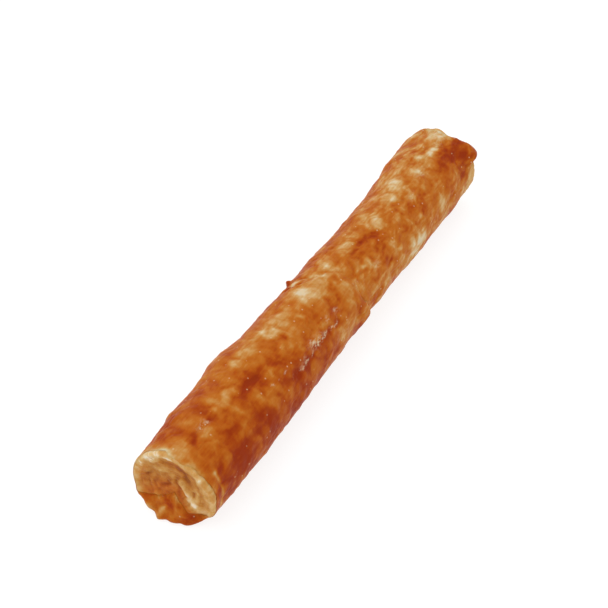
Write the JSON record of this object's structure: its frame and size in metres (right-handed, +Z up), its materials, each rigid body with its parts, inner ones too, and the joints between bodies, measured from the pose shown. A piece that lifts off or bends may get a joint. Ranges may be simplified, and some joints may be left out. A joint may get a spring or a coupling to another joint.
{
  "type": "meat-wrapped chew stick",
  "caption": "Straight stick of pale rolled hide wrapped in thin strips of glazed, dried orange-brown meat that overlap at mid-length and fold over its ends; a snack to chew.",
  "frame": {"origin": "under the middle of the whole stick, on the surface it lies on", "axes": "+X along the stick from its front end, where a tongue of meat is folded over the face, to its rear end; +Z up"},
  "size_m": [0.1344, 0.0206, 0.0193],
  "materials": {
    "rolled_hide": "matte to satin dried hide, pale cream at its edges and tan in its folds",
    "dried_meat": "satin glazed and slightly translucent dried meat, amber where thin and red-brown where thick"
  },
  "bodies": {
    "root": {"hide_roll": "rolled_hide", "front_meat_strip": "dried_meat", "rear_meat_strip": "dried_meat"}
  },
  "joints": []
}
